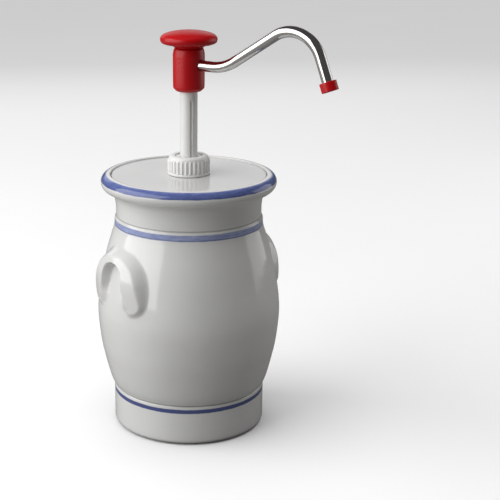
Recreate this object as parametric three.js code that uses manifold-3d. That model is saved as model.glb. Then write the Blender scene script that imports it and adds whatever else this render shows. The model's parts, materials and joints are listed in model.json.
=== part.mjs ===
// Condiment pump dispenser: a glazed stoneware crock with two horseshoe lugs, a flat lid, and a
// hand pump whose push knob drives a hollow rod and sends sauce out of a bent steel spout.
// Millimetres, +Z up. The origin is the middle of the crock's flat underside, and the spout lies
// in the XZ plane, over +X.

import * as THREE from 'three';
import * as BufferGeometryUtils from 'three/addons/utils/BufferGeometryUtils.js';
import Module from 'manifold-3d';

const wasm = await Module();
wasm.setup();

// ---------------------------------------------------------------- driving dimensions

const GAP = 0.3; // kept between pieces that touch
const STROKE = 56; // how far the push knob travels

// Crock: outside radii and heights
const FOOT_RADIUS = 80;
const FOOT_HEIGHT = 36.5;
const FOOT_EDGE_ROUND = 9;
const BELLY_RADIUS = 95.9;
const BELLY_HEIGHT = 121;
const SHOULDER_LEDGE_RADIUS = 77.2;
const SHOULDER_LEDGE_HEIGHT = 222;
const NECK_RADIUS = 75.8;
const BEAD_CENTRE_RADIUS = 82.5;
const BEAD_CENTRE_HEIGHT = 262.5;
const BEAD_ROUND = 8.35;
const WALL = 8.5;
const FLOOR_THICKNESS = 10;
const LID_SEAT_HEIGHT = 262.3;
const LID_SEAT_RADIUS = 80.6;
const MOUTH_RADIUS = 70;

// Horseshoe lugs, drawn on a flat sheet that is laid against the wall
const LUG_ANGLE = -107; // degrees about Z of the first lug; the second is opposite
const LUG_TOP = 203;
const LUG_FOOT = 138;
const LUG_OUTER_HALF_WIDTH = 43;
const LUG_FOOT_WIDTH = 27;
const LUG_ARCH_TOP = 187;
const LUG_REACH = 8.2;
const LUG_FOOT_REACH = 3.5;

// Lid
const LID_TOP = 269.6;
const LID_RADIUS = 80;
const LID_HOLE_RADIUS = 16.8;
const LID_SKIRT_RADIUS = 66.5;
const LID_SKIRT_DEPTH = 8;

// Pump cylinder, its threaded neck and the collar nut
const BORE_RADIUS = 13.2;
const CYLINDER_RADIUS = 16;
const CYLINDER_BOTTOM = 150;
const FLANGE_RADIUS = 23;
const FLANGE_THICKNESS = 3;
const GASKET_THICKNESS = 1.5;
const NECK_ROOT_RADIUS = 15.2;
const NECK_TOP = 285.5;
const THREAD_PITCH = 3;
const THREAD_TURNS = 3;
const THREAD_ROUND = 0.95;
const THREAD_BOTTOM = 274.2;
const THREAD_CLEARANCE = 0.45;
const NUT_UNSCREW_TURNS = 2; // how far the collar nut can be unscrewed
const NUT_BOTTOM = 269.9;
const NUT_TOP = 289.5;
const NUT_RADIUS = 20.6;
const NUT_SKIRT_RADIUS = 22.3;
const NUT_RIBS = 30;
const NUT_RIB_HEIGHT = 0.9;
const NUT_EDGE_ROUND = 3.2;

// Plunger: hollow rod, piston, head and knob
const ROD_RADIUS = 8.9;
const ROD_BORE_RADIUS = 4.5;
const ROD_BOTTOM = 242;
const ROD_TOP = 375.5;
const KEYWAY_ANGLE = -35.5; // degrees about Z
const KEYWAY_WIDTH = 3;
const KEYWAY_DEPTH = 1.7;
const KEYWAY_TOP = 346.4;
const KEYWAY_BOTTOM = 258;
const PISTON_BOTTOM = 236;
const PISTON_TOP = 256;
const HEAD_CLEARANCE = 9.9; // left above the collar nut when the knob is right down
const HEAD_BOTTOM = NUT_TOP + HEAD_CLEARANCE + STROKE;
const HEAD_TOP = 398.6;
const HEAD_RADIUS = 16;
const KNOB_STUD_RADIUS = 8;
const KNOB_STUD_LENGTH = 7.6;
const KNOB_RADIUS = 28.75;
const KNOB_EDGE_ROUND = 4.8;
const KNOB_EDGE_HEIGHT = 407.3;
const KNOB_TOP = 416.6;

// Spout: a steel tube bent in the XZ plane
const SPOUT_HEIGHT = 382.3;
const SPOUT_START = 6;
const SPOUT_RADIUS = 5.5;
const SPOUT_BORE_RADIUS = 4.5;
const SPOUT_RUN_OUT = 30.3; // from the pump's axis to the first bend
const SPOUT_RISE_BEND = 50.2;
const SPOUT_RISE_ANGLE = 31.7;
const SPOUT_INCLINE = 55;
const SPOUT_CREST_BEND = 35.3;
const SPOUT_TIP_LEAN = 21.3; // degrees outward from straight down
const SPOUT_TIP_RUN = 30;
const NOZZLE_RADIUS = 8.3;
const NOZZLE_LENGTH = 9.3;
const NOZZLE_OVERHANG = 2;
const NOZZLE_BORE_RADIUS = 4;

// Valves and suction tube
const DISCHARGE_BALL_RADIUS = 3.6;
const DISCHARGE_SEAT_RADIUS = 2.6;
const INTAKE_BALL_RADIUS = 4.5;
const INTAKE_SEAT_RADIUS = 3.2;
const VALVE_SEAT_HEIGHT = 140;
const HOUSING_BOTTOM = 112;
const INTAKE_PIN_HEIGHT = 151.5;
const DISCHARGE_PIN_HEIGHT = 252.2;
const TUBE_RADIUS = 8;
const TUBE_BORE_RADIUS = 6;
const TUBE_TOP = 133.7;
const TUBE_BOTTOM = 26;

// Return spring and the rubber rings
const SPRING_RADIUS = 10.8;
const SPRING_WIRE_RADIUS = 0.8;
const SPRING_TURNS = 9;
const SEAL_ROUND = 1;
const SEAL_GROOVE_DEPTH = 2.2;
const SEAL_GROOVE_HALF_WIDTH = 1.5;
const HOUSING_SEAL_HEIGHT = 155;
const PISTON_SEAL_HEIGHT = 247;
const HEAD_SEAL_HEIGHT = 370.6;
const HEAD_SEAL_ROUND = 0.85;
const SPOUT_SEAL_PLACE = 10.5; // from the pump's axis
const SPOUT_SEAL_ROUND = 0.8;

const FINE = 48; // sides of the crock and the lid
const ROUND = 24; // sides of the pump's round pieces
const SMALL = 16; // sides of pins, balls and small bores

// ---------------------------------------------------------------- materials

function finish(color, roughness, metalness) {
  return () => new THREE.MeshStandardMaterial({ color, roughness, metalness });
}

const stoneware = finish(0xdcdcda, 0.2, 0);
const lidGlaze = finish(0xd0d0cf, 0.15, 0);
const whitePlastic = finish(0xe9e9e7, 0.4, 0);
const redPlastic = finish(0xb3101c, 0.35, 0);
const steel = finish(0xc8c6c4, 0.15, 1);
const rubber = finish(0x2b2b2b, 0.8, 0);
const clearTube = finish(0xdfe3e4, 0.35, 0);

// ---------------------------------------------------------------- helpers

const radians = THREE.MathUtils.degToRad;

function solid(geometry) {
  const bare = geometry.index ? geometry.toNonIndexed() : geometry.clone();
  bare.deleteAttribute('normal');
  bare.deleteAttribute('uv');
  const merged = BufferGeometryUtils.mergeVertices(bare, 1e-4);
  return new wasm.Manifold(new wasm.Mesh({
    numProp: 3,
    vertProperties: new Float32Array(merged.attributes.position.array),
    triVerts: new Uint32Array(merged.index.array),
  }));
}

function geometryOf(manifold) {
  const mesh = manifold.getMesh();
  const geometry = new THREE.BufferGeometry();
  geometry.setAttribute('position', new THREE.BufferAttribute(new Float32Array(mesh.vertProperties), 3));
  geometry.setIndex(new THREE.BufferAttribute(new Uint32Array(mesh.triVerts), 1));
  return geometry;
}

// A solid of revolution about Z. The outline is a list of [radius, height] that goes round the
// section anticlockwise: up the outside, then down the inside.
function lathe(outline, sides = ROUND) {
  const points = outline.map(([radius, height]) => new THREE.Vector2(radius, height));
  const onAxis = outline[0][0] === 0 && outline.at(-1)[0] === 0;
  if (!onAxis) {
    points.push(points[0].clone());
  }
  return new THREE.LatheGeometry(points, sides).rotateX(Math.PI / 2);
}

function ring(inner, outer, bottom, top, sides = ROUND) {
  return lathe([[inner, bottom], [outer, bottom], [outer, top], [inner, top]], sides);
}

function rod(radius, bottom, top, sides = SMALL) {
  return lathe([[0, bottom], [radius, bottom], [radius, top], [0, top]], sides);
}

function torus(centreRadius, round, height, sides = ROUND) {
  return new THREE.TorusGeometry(centreRadius, round, 6, sides).translate(0, 0, height);
}

// Points of an arc in the section plane, from one angle to another in degrees.
function arc(radius, height, round, from, to, steps) {
  const points = [];
  for (let i = 0; i <= steps; i += 1) {
    const angle = radians(from + ((to - from) * i) / steps);
    points.push([radius + round * Math.cos(angle), height + round * Math.sin(angle)]);
  }
  return points;
}

// A smooth line through a few points of the section plane, without its first and last point.
function curveThrough(points, steps) {
  const spline = new THREE.SplineCurve(points.map(([radius, height]) => new THREE.Vector2(radius, height)));
  return spline.getPoints(steps).slice(1, -1).map((point) => [point.x, point.y]);
}

function piece(name, geometry, material) {
  const mesh = new THREE.Mesh(geometry, material());
  mesh.name = name;
  return mesh;
}

// ---------------------------------------------------------------- crock

const WALL_POINTS = [
  [FOOT_RADIUS + 0.4, FOOT_HEIGHT + 5],
  [84.2, 52],
  [89.2, 73],
  [93.2, 93],
  [BELLY_RADIUS, BELLY_HEIGHT],
  [94.8, 142],
  [91, 165],
  [86.4, 187],
  [82.2, 202],
  [SHOULDER_LEDGE_RADIUS, SHOULDER_LEDGE_HEIGHT - 4],
];

function crockOutside() {
  return [
    ...arc(FOOT_RADIUS - FOOT_EDGE_ROUND, FOOT_EDGE_ROUND, FOOT_EDGE_ROUND, -90, 0, 4),
    [FOOT_RADIUS, FOOT_HEIGHT],
    [FOOT_RADIUS - 0.4, FOOT_HEIGHT + 3.5],
    WALL_POINTS[0],
    ...curveThrough(WALL_POINTS, 12),
    [SHOULDER_LEDGE_RADIUS, SHOULDER_LEDGE_HEIGHT - 4],
    [SHOULDER_LEDGE_RADIUS, SHOULDER_LEDGE_HEIGHT + 3],
    [NECK_RADIUS + 0.2, SHOULDER_LEDGE_HEIGHT + 4.5],
    [NECK_RADIUS, SHOULDER_LEDGE_HEIGHT + 8],
    [NECK_RADIUS, 240],
    [NECK_RADIUS + 1.2, 247.5],
    [NECK_RADIUS + 3.6, 252.5],
    ...arc(BEAD_CENTRE_RADIUS, BEAD_CENTRE_HEIGHT, BEAD_ROUND, -95, 100, 8),
    [LID_SEAT_RADIUS, BEAD_CENTRE_HEIGHT + BEAD_ROUND - 1.2],
    [LID_SEAT_RADIUS, LID_SEAT_HEIGHT],
  ];
}

function crockInside() {
  return [
    [MOUTH_RADIUS, LID_SEAT_HEIGHT],
    [MOUTH_RADIUS, 256],
    [NECK_RADIUS - WALL, 248],
    [NECK_RADIUS - WALL, 228],
    ...WALL_POINTS.slice(1).reverse().map(([radius, height]) => [radius - WALL, height]),
    [FOOT_RADIUS - WALL - 0.5, 34],
    ...arc(FOOT_RADIUS - WALL - 12.5, FLOOR_THICKNESS + 12, 12, 0, -90, 4),
    [0, FLOOR_THICKNESS],
  ];
}

// How far a lug stands out of the wall at a height: it dies away at the top and thins at the feet.
function lugReach(height) {
  const rise = (LUG_TOP - height) / (LUG_TOP - 183);
  const shoulder = Math.sin((Math.PI / 2) * THREE.MathUtils.clamp(rise, 0, 1));
  const body = THREE.MathUtils.clamp((height - LUG_FOOT) / 34, 0, 1);
  return THREE.MathUtils.lerp(LUG_FOOT_REACH, LUG_REACH, body) * shoulder;
}

// The inverted horseshoe, seen face on: x runs round the wall and y is the height.
function lugShape() {
  const shape = new THREE.Shape();
  const footRadius = LUG_FOOT_WIDTH / 2;
  const legCentre = LUG_OUTER_HALF_WIDTH - footRadius;
  const footCentre = LUG_FOOT + footRadius;
  const archHalf = legCentre - footRadius;
  shape.moveTo(LUG_OUTER_HALF_WIDTH, footCentre);
  shape.bezierCurveTo(LUG_OUTER_HALF_WIDTH, 182, 25, LUG_TOP, 0, LUG_TOP);
  shape.bezierCurveTo(-25, LUG_TOP, -LUG_OUTER_HALF_WIDTH, 182, -LUG_OUTER_HALF_WIDTH, footCentre);
  shape.absarc(-legCentre, footCentre, footRadius, Math.PI, 2 * Math.PI, false);
  shape.bezierCurveTo(-archHalf - 4, 176, -14, LUG_ARCH_TOP, 0, LUG_ARCH_TOP);
  shape.bezierCurveTo(14, LUG_ARCH_TOP, archHalf + 4, 176, archHalf, footCentre);
  shape.absarc(legCentre, footCentre, footRadius, Math.PI, 2 * Math.PI, false);
  return shape;
}

// The crock's wall pushed out by the lug's reach, over the heights of the lug and a little more.
function lugEnvelope(core) {
  const outside = curveThrough(WALL_POINTS, 30)
    .filter(([, height]) => height > LUG_FOOT - 6 && height < LUG_TOP + 6)
    .map(([radius, height]) => [radius + lugReach(height), height]);
  return lathe([[core, outside[0][1]], ...outside, [core, outside.at(-1)[1]]], FINE);
}

function lug(angle) {
  const core = WALL_POINTS[0][0] - 20;
  const prism = new THREE.ExtrudeGeometry(lugShape(), { depth: 60, bevelEnabled: false, curveSegments: 6 });
  prism.rotateX(Math.PI / 2).rotateZ(Math.PI / 2).translate(core, 0, 0);
  const envelope = lugEnvelope(core);
  const trimmed = solid(prism).intersect(solid(envelope));
  return trimmed.rotate([0, 0, angle]);
}

function crock() {
  const outline = [[0, 0], ...crockOutside(), ...crockInside()];
  const cavity = solid(lathe([...crockInside().reverse(), [0, LID_SEAT_HEIGHT]], FINE));
  let body = solid(lathe(outline, FINE));
  for (const angle of [LUG_ANGLE, LUG_ANGLE + 180]) {
    body = body.add(lug(angle).subtract(cavity));
  }
  return piece('crock', geometryOf(body), stoneware);
}

// ---------------------------------------------------------------- lid

function lid() {
  const underside = LID_SEAT_HEIGHT + GAP;
  const skirtBottom = underside - LID_SKIRT_DEPTH;
  const outline = [
    [LID_HOLE_RADIUS, underside],
    [LID_SKIRT_RADIUS - 5, underside],
    [LID_SKIRT_RADIUS - 4, skirtBottom],
    [LID_SKIRT_RADIUS, skirtBottom],
    [LID_SKIRT_RADIUS, underside],
    [LID_RADIUS - 0.6, underside],
    [LID_RADIUS, underside + 1.2],
    ...arc(LID_RADIUS - 1.4, LID_TOP - 1.4, 1.4, 0, 90, 3),
    ...arc(LID_HOLE_RADIUS + 0.8, LID_TOP - 0.8, 0.8, 90, 180, 2),
  ];
  return piece('lid', lathe(outline, FINE), lidGlaze);
}

// ---------------------------------------------------------------- pump cylinder

// A round thread ridge: a rod of round section that winds up about Z.
class Helix extends THREE.Curve {
  constructor(radius, pitch, turns, bottom) {
    super();
    Object.assign(this, { radius, pitch, turns, bottom });
  }

  getPoint(t, target = new THREE.Vector3()) {
    const angle = 2 * Math.PI * this.turns * t;
    return target.set(
      this.radius * Math.cos(angle),
      this.radius * Math.sin(angle),
      this.bottom + this.pitch * this.turns * t,
    );
  }
}

function coil(radius, round, pitch, turns, bottom, stepsPerTurn, sides) {
  const section = new THREE.Shape().absarc(0, 0, round, 0, 2 * Math.PI, false);
  const path = new Helix(radius, pitch, turns, bottom);
  const steps = Math.round(turns * stepsPerTurn);
  return new THREE.ExtrudeGeometry(section, { steps, extrudePath: path, curveSegments: sides / 2 });
}

function neckThread(round, extraTurns = 0) {
  const bottom = THREAD_BOTTOM - extraTurns * THREAD_PITCH;
  return coil(NECK_ROOT_RADIUS, round, THREAD_PITCH, THREAD_TURNS + extraTurns, bottom, 18, 6);
}

const FLANGE_TOP = LID_SEAT_HEIGHT - GASKET_THICKNESS - GAP;
const FLANGE_BOTTOM = FLANGE_TOP - FLANGE_THICKNESS;

function pumpCylinder() {
  const outline = [
    [BORE_RADIUS, CYLINDER_BOTTOM],
    [CYLINDER_RADIUS, CYLINDER_BOTTOM],
    [CYLINDER_RADIUS, FLANGE_BOTTOM - 2],
    [CYLINDER_RADIUS + 2, FLANGE_BOTTOM],
    [FLANGE_RADIUS, FLANGE_BOTTOM],
    [FLANGE_RADIUS, FLANGE_TOP],
    [NECK_ROOT_RADIUS, FLANGE_TOP],
    [NECK_ROOT_RADIUS, NECK_TOP - 0.8],
    [NECK_ROOT_RADIUS - 0.8, NECK_TOP],
    [BORE_RADIUS, NECK_TOP],
  ];
  const body = solid(lathe(outline)).add(solid(neckThread(THREAD_ROUND)));
  return piece('pump_cylinder', geometryOf(body), whitePlastic);
}

function flangeGasket() {
  const gasket = ring(NECK_ROOT_RADIUS + 1, FLANGE_RADIUS - 1, FLANGE_TOP + GAP, LID_SEAT_HEIGHT);
  return piece('flange_gasket', gasket, rubber);
}

const GUIDE_FLANGE_BOTTOM = NECK_TOP + GAP;
const GUIDE_BOTTOM = 264;

function rodGuide() {
  const bore = ROD_RADIUS + GAP;
  const flange = 13.9;
  const flangeTop = GUIDE_FLANGE_BOTTOM + 2.2;
  const outline = [
    [bore, GUIDE_BOTTOM],
    [BORE_RADIUS - GAP, GUIDE_BOTTOM],
    [BORE_RADIUS - GAP, GUIDE_FLANGE_BOTTOM],
    [flange, GUIDE_FLANGE_BOTTOM],
    [flange, flangeTop - 0.4],
    [flange - 0.4, flangeTop],
    [bore + 0.5, flangeTop],
    [bore, flangeTop - 0.5],
  ];
  // a key that slides in the rod's keyway
  const keyInside = ROD_RADIUS - KEYWAY_DEPTH + 0.5;
  const keyOutside = bore + 1;
  const key = new THREE.BoxGeometry(keyOutside - keyInside, KEYWAY_WIDTH - 0.7, 20);
  key.translate((keyOutside + keyInside) / 2, 0, GUIDE_BOTTOM + 11);
  key.rotateZ(radians(KEYWAY_ANGLE));
  return piece('rod_guide', geometryOf(solid(lathe(outline)).add(solid(key))), whitePlastic);
}

function rodWiper() {
  const wiperBottom = GUIDE_BOTTOM - 3.8;
  const outline = [
    [ROD_RADIUS + 0.15, wiperBottom + 0.4],
    [ROD_RADIUS + 0.9, wiperBottom],
    [BORE_RADIUS - GAP, wiperBottom],
    [BORE_RADIUS - GAP, GUIDE_BOTTOM - GAP],
    [ROD_RADIUS + 1.2, GUIDE_BOTTOM - GAP],
  ];
  return piece('rod_wiper', lathe(outline), rubber);
}

// ---------------------------------------------------------------- collar nut

function ribbedShape() {
  const points = [];
  const perRib = 4;
  for (let i = 0; i < NUT_RIBS * perRib; i += 1) {
    // rounded ribs a little wider than the gaps between them
    const angle = (2 * Math.PI * i) / (NUT_RIBS * perRib);
    const swell = Math.max(0, Math.cos(NUT_RIBS * angle) + 0.35) / 1.35;
    const radius = NUT_RADIUS + NUT_RIB_HEIGHT * Math.sqrt(swell);
    points.push(new THREE.Vector2(radius * Math.cos(angle), radius * Math.sin(angle)));
  }
  return new THREE.Shape(points);
}

const WASHER_TOP = NUT_BOTTOM + 1.3;

function collarNut() {
  const bandTop = NUT_BOTTOM + 2.2;
  const ribTop = NUT_TOP - 4.2;
  const rodHole = 14.4;
  const blank = lathe([
    [0, NUT_BOTTOM],
    [NUT_SKIRT_RADIUS, NUT_BOTTOM],
    [NUT_SKIRT_RADIUS - 0.2, bandTop - 0.6],
    [NUT_RADIUS, bandTop],
    [NUT_RADIUS, ribTop],
    ...arc(NUT_RADIUS - NUT_EDGE_ROUND, NUT_TOP - NUT_EDGE_ROUND, NUT_EDGE_ROUND, 0, 90, 4),
    [0, NUT_TOP],
  ], NUT_RIBS);
  const ribs = new THREE.ExtrudeGeometry(ribbedShape(), { depth: ribTop - bandTop, bevelEnabled: false });
  ribs.translate(0, 0, bandTop);
  const bore = lathe([
    [0, NUT_BOTTOM - 1],
    [NUT_RADIUS, NUT_BOTTOM - 1],
    [NUT_RADIUS, WASHER_TOP + GAP],
    [NECK_ROOT_RADIUS + 0.4, WASHER_TOP + GAP],
    [NECK_ROOT_RADIUS + 0.4, NECK_TOP + 0.5],
    [rodHole, NECK_TOP + 1],
    [rodHole, NUT_TOP + 1],
    [0, NUT_TOP + 1],
  ]);
  const threadRoom = solid(neckThread(THREAD_ROUND + THREAD_CLEARANCE, NUT_UNSCREW_TURNS));
  const body = solid(blank).add(solid(ribs)).subtract(solid(bore)).subtract(threadRoom);
  return piece('collar_nut', geometryOf(body), whitePlastic);
}

function nutWasher() {
  return piece('nut_washer', ring(17.2, NUT_RADIUS - 0.4, NUT_BOTTOM, WASHER_TOP), whitePlastic);
}

// ---------------------------------------------------------------- foot valve and suction tube

function crossPin(name, radius, halfLength, height) {
  const pin = rod(radius, -halfLength, halfLength, 12).rotateX(Math.PI / 2).translate(0, 0, height);
  return piece(name, pin, steel);
}

function crossHole(radius, halfLength, height) {
  return solid(rod(radius, -halfLength, halfLength, 12).rotateX(Math.PI / 2).translate(0, 0, height));
}

const PLUG_TOP = 159.5;

function valveHousing() {
  const plug = BORE_RADIUS - GAP;
  const groove = plug - SEAL_GROOVE_DEPTH;
  const spigot = TUBE_BORE_RADIUS - 0.4;
  const chamber = INTAKE_BALL_RADIUS + 1;
  const neck = 9.5;
  const shoulder = CYLINDER_BOTTOM - 4;
  const outline = [
    [INTAKE_SEAT_RADIUS, HOUSING_BOTTOM],
    [spigot - 0.4, HOUSING_BOTTOM],
    [spigot, HOUSING_BOTTOM + 2],
    [spigot, TUBE_TOP + GAP],
    [neck, TUBE_TOP + GAP],
    [neck, shoulder - 1],
    [neck + 1.5, shoulder],
    [CYLINDER_RADIUS, shoulder],
    [CYLINDER_RADIUS, CYLINDER_BOTTOM - GAP],
    [plug, CYLINDER_BOTTOM - GAP],
    [plug, HOUSING_SEAL_HEIGHT - SEAL_GROOVE_HALF_WIDTH],
    [groove, HOUSING_SEAL_HEIGHT - SEAL_GROOVE_HALF_WIDTH],
    [groove, HOUSING_SEAL_HEIGHT + SEAL_GROOVE_HALF_WIDTH],
    [plug, HOUSING_SEAL_HEIGHT + SEAL_GROOVE_HALF_WIDTH],
    [plug, PLUG_TOP],
    [chamber, PLUG_TOP],
    [chamber, VALVE_SEAT_HEIGHT],
    [INTAKE_SEAT_RADIUS, VALVE_SEAT_HEIGHT],
  ];
  const body = solid(lathe(outline)).subtract(crossHole(1.2, 30, INTAKE_PIN_HEIGHT));
  return piece('valve_housing', geometryOf(body), whitePlastic);
}

function suctionTube() {
  const tube = solid(ring(TUBE_BORE_RADIUS, TUBE_RADIUS, TUBE_BOTTOM, TUBE_TOP));
  const wedge = new THREE.BoxGeometry(60, 60, 30).rotateY(radians(30)).translate(0, 0, TUBE_BOTTOM - 12);
  return piece('suction_tube', geometryOf(tube.subtract(solid(wedge))), clearTube);
}

function ball(name, radius, seatRadius, seatHeight) {
  const centre = seatHeight + Math.sqrt(radius ** 2 - seatRadius ** 2) + 0.2;
  const sphere = new THREE.SphereGeometry(radius, 12, 8).rotateX(Math.PI / 2).translate(0, 0, centre);
  return piece(name, sphere, steel);
}

function returnSpring() {
  const bottom = PLUG_TOP + GAP + SPRING_WIRE_RADIUS;
  const top = PISTON_BOTTOM - GAP - SPRING_WIRE_RADIUS;
  const pitch = (top - bottom) / SPRING_TURNS;
  const wire = coil(SPRING_RADIUS, SPRING_WIRE_RADIUS, pitch, SPRING_TURNS, bottom, 12, 6);
  return piece('return_spring', wire, steel);
}

// ---------------------------------------------------------------- plunger

function pistonRod() {
  const outline = [
    [ROD_BORE_RADIUS, ROD_BOTTOM],
    [ROD_RADIUS, ROD_BOTTOM],
    [ROD_RADIUS, ROD_TOP],
    [ROD_BORE_RADIUS, ROD_TOP],
  ];
  const slotHeight = KEYWAY_TOP - KEYWAY_BOTTOM;
  const cutter = 6;
  const keyway = new THREE.BoxGeometry(cutter, KEYWAY_WIDTH, slotHeight);
  keyway.translate(ROD_RADIUS - KEYWAY_DEPTH + cutter / 2, 0, KEYWAY_BOTTOM + slotHeight / 2);
  keyway.rotateZ(radians(KEYWAY_ANGLE));
  const body = solid(lathe(outline)).subtract(solid(keyway)).subtract(crossHole(1, 20, DISCHARGE_PIN_HEIGHT));
  return piece('piston_rod', geometryOf(body), whitePlastic);
}

function piston() {
  const wall = BORE_RADIUS - 0.4;
  const groove = BORE_RADIUS - GAP - SEAL_GROOVE_DEPTH;
  const socket = ROD_RADIUS + GAP;
  const outline = [
    [DISCHARGE_SEAT_RADIUS, PISTON_BOTTOM],
    [wall - 1, PISTON_BOTTOM],
    [wall, PISTON_BOTTOM + 1],
    [wall, PISTON_SEAL_HEIGHT - SEAL_GROOVE_HALF_WIDTH],
    [groove, PISTON_SEAL_HEIGHT - SEAL_GROOVE_HALF_WIDTH],
    [groove, PISTON_SEAL_HEIGHT + SEAL_GROOVE_HALF_WIDTH],
    [wall, PISTON_SEAL_HEIGHT + SEAL_GROOVE_HALF_WIDTH],
    [wall, PISTON_TOP - 0.6],
    [wall - 0.6, PISTON_TOP],
    [socket, PISTON_TOP],
    [socket, ROD_BOTTOM - GAP],
    [DISCHARGE_SEAT_RADIUS, ROD_BOTTOM - GAP],
  ];
  return piece('piston', lathe(outline), whitePlastic);
}

function pumpHead() {
  const barrel = lathe([
    [0, HEAD_BOTTOM],
    [HEAD_RADIUS - 3.6, HEAD_BOTTOM],
    [HEAD_RADIUS - 1.8, HEAD_BOTTOM + 0.6],
    [HEAD_RADIUS - 0.5, HEAD_BOTTOM + 2],
    [HEAD_RADIUS, HEAD_BOTTOM + 4],
    [HEAD_RADIUS + 0.2, HEAD_TOP - 5],
    [HEAD_RADIUS - 0.6, HEAD_TOP - 2],
    [HEAD_RADIUS - 2.4, HEAD_TOP - 0.4],
    [HEAD_RADIUS - 3.4, HEAD_TOP],
    [0, HEAD_TOP],
  ]);
  const rodSocket = rod(ROD_RADIUS + GAP, HEAD_BOTTOM - 1, ROD_TOP + GAP);
  const riser = rod(ROD_BORE_RADIUS, ROD_TOP, SPOUT_HEIGHT + 3);
  const throat = rod(ROD_BORE_RADIUS, 0, 10).rotateY(Math.PI / 2).translate(0, 0, SPOUT_HEIGHT);
  const spoutHole = rod(SPOUT_RADIUS + 0.35, SPOUT_START - GAP, 20).rotateY(Math.PI / 2);
  spoutHole.translate(0, 0, SPOUT_HEIGHT);
  const spoutGroove = rod(SPOUT_RADIUS + 1.9, SPOUT_SEAL_PLACE - 1.3, SPOUT_SEAL_PLACE + 1.3);
  spoutGroove.rotateY(Math.PI / 2).translate(0, 0, SPOUT_HEIGHT);
  const rodGroove = rod(ROD_RADIUS + 2, HEAD_SEAL_HEIGHT - 1.4, HEAD_SEAL_HEIGHT + 1.4);
  const knobSocket = rod(KNOB_STUD_RADIUS + GAP, HEAD_TOP - KNOB_STUD_LENGTH - 0.4, HEAD_TOP + 1);
  let body = solid(barrel);
  for (const cut of [rodSocket, riser, throat, spoutHole, spoutGroove, rodGroove, knobSocket]) {
    body = body.subtract(solid(cut));
  }
  return piece('pump_head', geometryOf(body), redPlastic);
}

function knob() {
  const outline = [
    [0, HEAD_TOP - KNOB_STUD_LENGTH],
    [KNOB_STUD_RADIUS - 0.6, HEAD_TOP - KNOB_STUD_LENGTH],
    [KNOB_STUD_RADIUS, HEAD_TOP - KNOB_STUD_LENGTH + 0.6],
    [KNOB_STUD_RADIUS, HEAD_TOP + GAP],
    [13.4, HEAD_TOP + GAP],
    [16, HEAD_TOP + 1.2],
    [19.5, HEAD_TOP + 3],
    [23.5, HEAD_TOP + 4],
    ...arc(KNOB_RADIUS - KNOB_EDGE_ROUND, KNOB_EDGE_HEIGHT, KNOB_EDGE_ROUND, -60, 52, 6),
    [24, KNOB_TOP - 3.6],
    [19, KNOB_TOP - 1.9],
    [12, KNOB_TOP - 0.7],
    [0, KNOB_TOP],
  ];
  return piece('knob', lathe(outline), redPlastic);
}

// ---------------------------------------------------------------- spout

// The tube's centre line: straight out, up a long bend, a straight incline, over the crest and
// down to the tip.
class SpoutPath extends THREE.Curve {
  constructor(from, to) {
    super();
    const rise = radians(SPOUT_RISE_ANGLE);
    const turn = rise + radians(90 - SPOUT_TIP_LEAN);
    this.from = from;
    this.to = to;
    this.stretches = [
      { length: SPOUT_RUN_OUT, bend: 0 },
      { length: SPOUT_RISE_BEND * rise, bend: 1 / SPOUT_RISE_BEND },
      { length: SPOUT_INCLINE, bend: 0 },
      { length: SPOUT_CREST_BEND * turn, bend: -1 / SPOUT_CREST_BEND },
      { length: SPOUT_TIP_RUN, bend: 0 },
    ];
  }

  static length() {
    return new SpoutPath(0, 0).stretches.reduce((sum, stretch) => sum + stretch.length, 0);
  }

  getPoint(t, target = new THREE.Vector3()) {
    let left = this.from + (this.to - this.from) * t;
    let heading = 0;
    let x = 0;
    let z = SPOUT_HEIGHT;
    for (const { length, bend } of this.stretches) {
      const run = Math.min(left, length);
      const next = heading + bend * run;
      if (bend === 0) {
        x += run * Math.cos(heading);
        z += run * Math.sin(heading);
      } else {
        x += (Math.sin(next) - Math.sin(heading)) / bend;
        z += (Math.cos(heading) - Math.cos(next)) / bend;
      }
      heading = next;
      left -= run;
    }
    return target.set(x, 0, z);
  }
}

function spoutTube() {
  const section = new THREE.Shape().absarc(0, 0, SPOUT_RADIUS, 0, 2 * Math.PI, false);
  section.holes.push(new THREE.Path().absarc(0, 0, SPOUT_BORE_RADIUS, 0, 2 * Math.PI, false));
  const path = new SpoutPath(SPOUT_START, SpoutPath.length());
  const tube = new THREE.ExtrudeGeometry(section, { steps: 34, extrudePath: path, curveSegments: 6 });
  return piece('spout_tube', tube, steel);
}

function nozzleCap() {
  const inside = SPOUT_RADIUS + GAP;
  const depth = NOZZLE_LENGTH - NOZZLE_OVERHANG;
  const cap = lathe([
    [NOZZLE_BORE_RADIUS, -NOZZLE_OVERHANG],
    [NOZZLE_RADIUS - 0.6, -NOZZLE_OVERHANG],
    [NOZZLE_RADIUS, 0.6 - NOZZLE_OVERHANG],
    [NOZZLE_RADIUS, depth - 0.6],
    [NOZZLE_RADIUS - 0.6, depth],
    [inside, depth],
    [inside, -GAP],
    [NOZZLE_BORE_RADIUS, -GAP],
  ]);
  const tip = new SpoutPath(0, SpoutPath.length()).getPoint(1);
  cap.rotateY(radians(-SPOUT_TIP_LEAN)).translate(tip.x, tip.y, tip.z);
  return piece('nozzle_cap', cap, redPlastic);
}

function spoutOring() {
  const seal = new THREE.TorusGeometry(SPOUT_RADIUS + 0.95, SPOUT_SEAL_ROUND, 6, SMALL);
  seal.rotateY(Math.PI / 2).translate(SPOUT_SEAL_PLACE, 0, SPOUT_HEIGHT);
  return piece('spout_oring', seal, rubber);
}

// ---------------------------------------------------------------- the whole dispenser

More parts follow.
